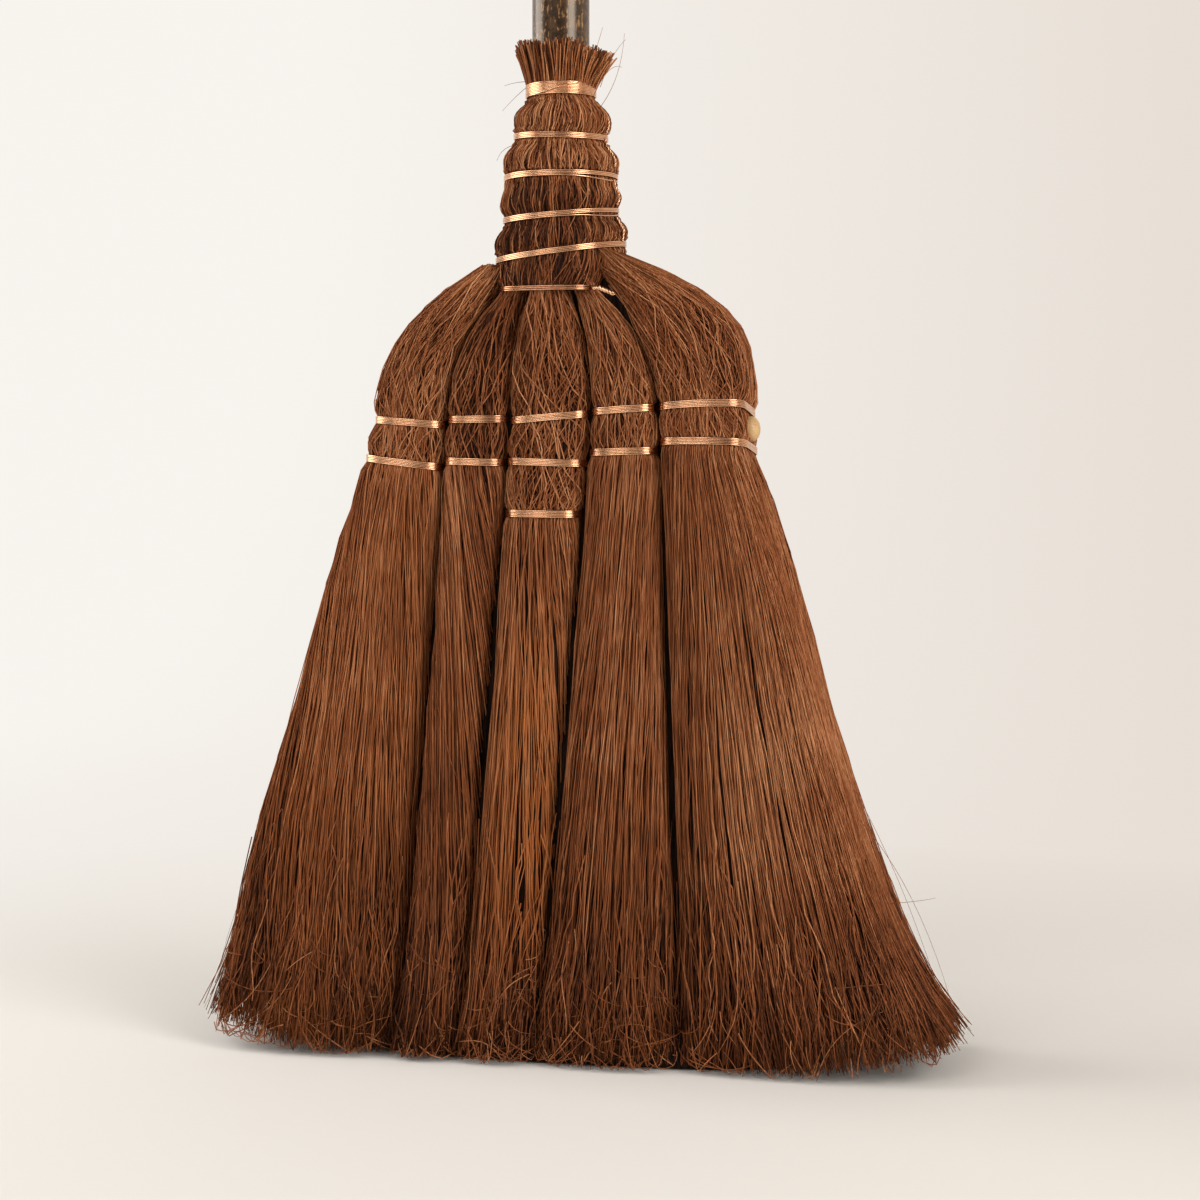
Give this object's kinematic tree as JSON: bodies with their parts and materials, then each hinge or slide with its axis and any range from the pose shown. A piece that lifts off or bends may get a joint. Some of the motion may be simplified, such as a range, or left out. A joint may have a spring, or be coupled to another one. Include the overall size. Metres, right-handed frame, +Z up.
{
  "type": "palm fibre broom",
  "caption": "Long-handled sweeping broom with a flat, fan-shaped head of palm fibre bundles bound with copper wire on a dark bamboo cane.",
  "frame": {"origin": "on the floor in the middle of the head's footprint, under the handle's axis", "axes": "+Z up along the handle, +X across the head towards the end where the skewer shows, -Y the front that the picture shows"},
  "size_m": [0.296, 0.0646, 1.3],
  "materials": {
    "palm_fibre": "matte",
    "cut_fibre": "matte",
    "copper_wire": "satin",
    "dark_bamboo": "gloss",
    "pale_bamboo": "satin"
  },
  "bodies": {
    "root": {"handle": "dark_bamboo", "neck_fibre": "palm_fibre", "left_outer_bundle": "palm_fibre", "left_inner_bundle": "palm_fibre", "centre_bundle": "palm_fibre", "right_inner_bundle": "palm_fibre", "right_outer_bundle": "palm_fibre", "collar_fibre": "cut_fibre", "left_outer_fibres": "cut_fibre", "left_inner_fibres": "cut_fibre", "centre_fibres": "cut_fibre", "right_inner_fibres": "cut_fibre", "right_outer_fibres": "cut_fibre", "centre_lower_wire": "copper_wire", "centre_third_wire": "copper_wire", "centre_upper_wire": "copper_wire", "left_inner_lower_wire": "copper_wire", "left_inner_upper_wire": "copper_wire", "left_outer_lower_wire": "copper_wire", "left_outer_upper_wire": "copper_wire", "right_inner_lower_wire": "copper_wire", "right_inner_upper_wire": "copper_wire", "right_outer_lower_wire": "copper_wire", "right_outer_upper_wire": "copper_wire", "neck_first_wire": "copper_wire", "neck_second_wire": "copper_wire", "neck_third_wire": "copper_wire", "neck_fourth_wire": "copper_wire", "neck_top_wire": "copper_wire", "shoulder_wire": "copper_wire", "lower_neck_twist": "copper_wire", "middle_neck_twist": "copper_wire", "upper_neck_twist": "copper_wire", "neck_twist_end": "copper_wire", "shoulder_twist_end": "copper_wire", "skewer": "pale_bamboo", "handle_peg": "pale_bamboo"}
  },
  "joints": []
}
